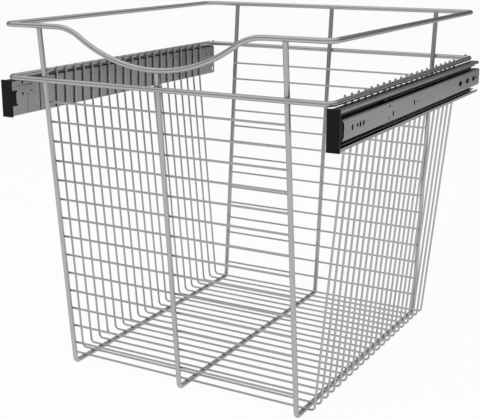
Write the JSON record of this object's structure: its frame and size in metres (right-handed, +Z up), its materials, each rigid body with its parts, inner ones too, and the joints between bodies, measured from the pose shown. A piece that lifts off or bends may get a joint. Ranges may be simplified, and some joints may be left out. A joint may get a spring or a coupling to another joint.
{
  "type": "pull out cabinet basket",
  "caption": "Wire basket for a kitchen base cabinet, with a dipped front rail as its handle, on ball bearing slides that let it pull right out.",
  "frame": {"origin": "middle of the bottom of the box round the basket and its slides, with the basket pushed in", "axes": "X runs across the basket, to the right seen from the front; Y runs to the back of the cabinet; Z is up"},
  "size_m": [0.462, 0.5016, 0.4572],
  "materials": {
    "wire": "satin",
    "zinc_sheet": "satin",
    "black_sheet": "satin",
    "ball_steel": "polished",
    "black_plastic": "matte"
  },
  "bodies": {
    "cabinet_rails": {"left_cabinet_member": "zinc_sheet", "right_cabinet_member": "zinc_sheet"},
    "basket": {"top_rim": "wire", "slide_rim": "wire", "left_frame_wire": "wire", "middle_frame_wire": "wire", "right_frame_wire": "wire", "cross_wires": "wire", "front_wires": "wire", "rear_wires": "wire", "left_carrier_plate": "zinc_sheet", "left_plate_rivets": "zinc_sheet", "left_basket_member": "zinc_sheet", "left_front_cap": "black_plastic", "right_carrier_plate": "zinc_sheet", "right_plate_rivets": "zinc_sheet", "right_basket_member": "zinc_sheet", "right_front_cap": "black_plastic"},
    "left_middle_rail": {"left_middle_member": "black_sheet"},
    "left_outer_ball_train": {"left_outer_ball_cage": "black_sheet", "left_outer_balls": "ball_steel"},
    "left_inner_ball_train": {"left_inner_ball_cage": "black_sheet", "left_inner_balls": "ball_steel"},
    "right_middle_rail": {"right_middle_member": "black_sheet"},
    "right_outer_ball_train": {"right_outer_ball_cage": "black_sheet", "right_outer_balls": "ball_steel"},
    "right_inner_ball_train": {"right_inner_ball_cage": "black_sheet", "right_inner_balls": "ball_steel"}
  },
  "joints": [
    {"name": "basket_slide", "type": "slide", "parent": "cabinet_rails", "child": "basket", "axis": [0, -1, 0], "range_m": [0, 0.48]},
    {"name": "left_middle_rail_slide", "type": "slide", "parent": "cabinet_rails", "child": "left_middle_rail", "axis": [0, -1, 0], "range_m": [0, 0.24]},
    {"name": "left_outer_ball_train_slide", "type": "slide", "parent": "cabinet_rails", "child": "left_outer_ball_train", "axis": [0, -1, 0], "range_m": [0, 0.36]},
    {"name": "left_inner_ball_train_slide", "type": "slide", "parent": "cabinet_rails", "child": "left_inner_ball_train", "axis": [0, -1, 0], "range_m": [0, 0.12]},
    {"name": "right_middle_rail_slide", "type": "slide", "parent": "cabinet_rails", "child": "right_middle_rail", "axis": [0, -1, 0], "range_m": [0, 0.24]},
    {"name": "right_outer_ball_train_slide", "type": "slide", "parent": "cabinet_rails", "child": "right_outer_ball_train", "axis": [0, -1, 0], "range_m": [0, 0.36]},
    {"name": "right_inner_ball_train_slide", "type": "slide", "parent": "cabinet_rails", "child": "right_inner_ball_train", "axis": [0, -1, 0], "range_m": [0, 0.12]}
  ],
  "couplings": [
    {"joint": "left_middle_rail_slide", "follows": "basket_slide", "ratio": 0.5},
    {"joint": "left_outer_ball_train_slide", "follows": "basket_slide", "ratio": 0.75},
    {"joint": "left_inner_ball_train_slide", "follows": "basket_slide", "ratio": 0.25},
    {"joint": "right_middle_rail_slide", "follows": "basket_slide", "ratio": 0.5},
    {"joint": "right_outer_ball_train_slide", "follows": "basket_slide", "ratio": 0.75},
    {"joint": "right_inner_ball_train_slide", "follows": "basket_slide", "ratio": 0.25}
  ]
}
